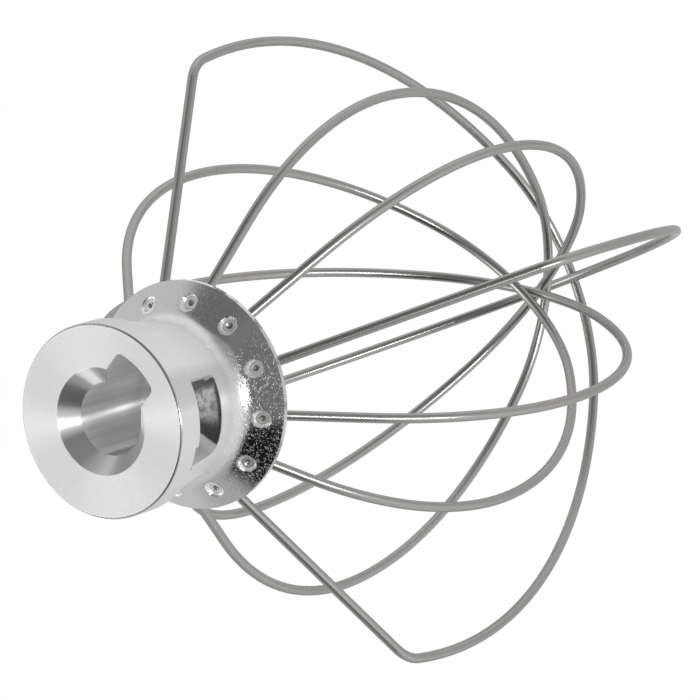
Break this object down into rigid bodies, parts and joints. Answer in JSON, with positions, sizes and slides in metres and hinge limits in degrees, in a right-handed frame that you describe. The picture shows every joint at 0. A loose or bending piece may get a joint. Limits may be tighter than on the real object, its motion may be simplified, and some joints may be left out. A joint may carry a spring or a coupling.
{
  "type": "mixer wire whisk",
  "caption": "Balloon wire whisk for a stand mixer: turned metal hub with a bayonet drive socket and nested steel wire loops staked into its skirt.",
  "frame": {"origin": "centre of the hub's front face, on the axis of the drive socket", "axes": "+Z out of the drive socket along its axis, with the cage hanging below; +X in the plane of the outermost loop"},
  "size_m": [0.1198, 0.1198, 0.1566],
  "materials": {
    "hub_metal": "turned, satin face and polished skirt",
    "wire_steel": "drawn and polished"
  },
  "bodies": {
    "root": {"hub": "hub_metal", "wire_1": "wire_steel", "wire_2": "wire_steel", "wire_3": "wire_steel", "wire_4": "wire_steel", "wire_5": "wire_steel", "wire_6": "wire_steel"}
  },
  "joints": []
}
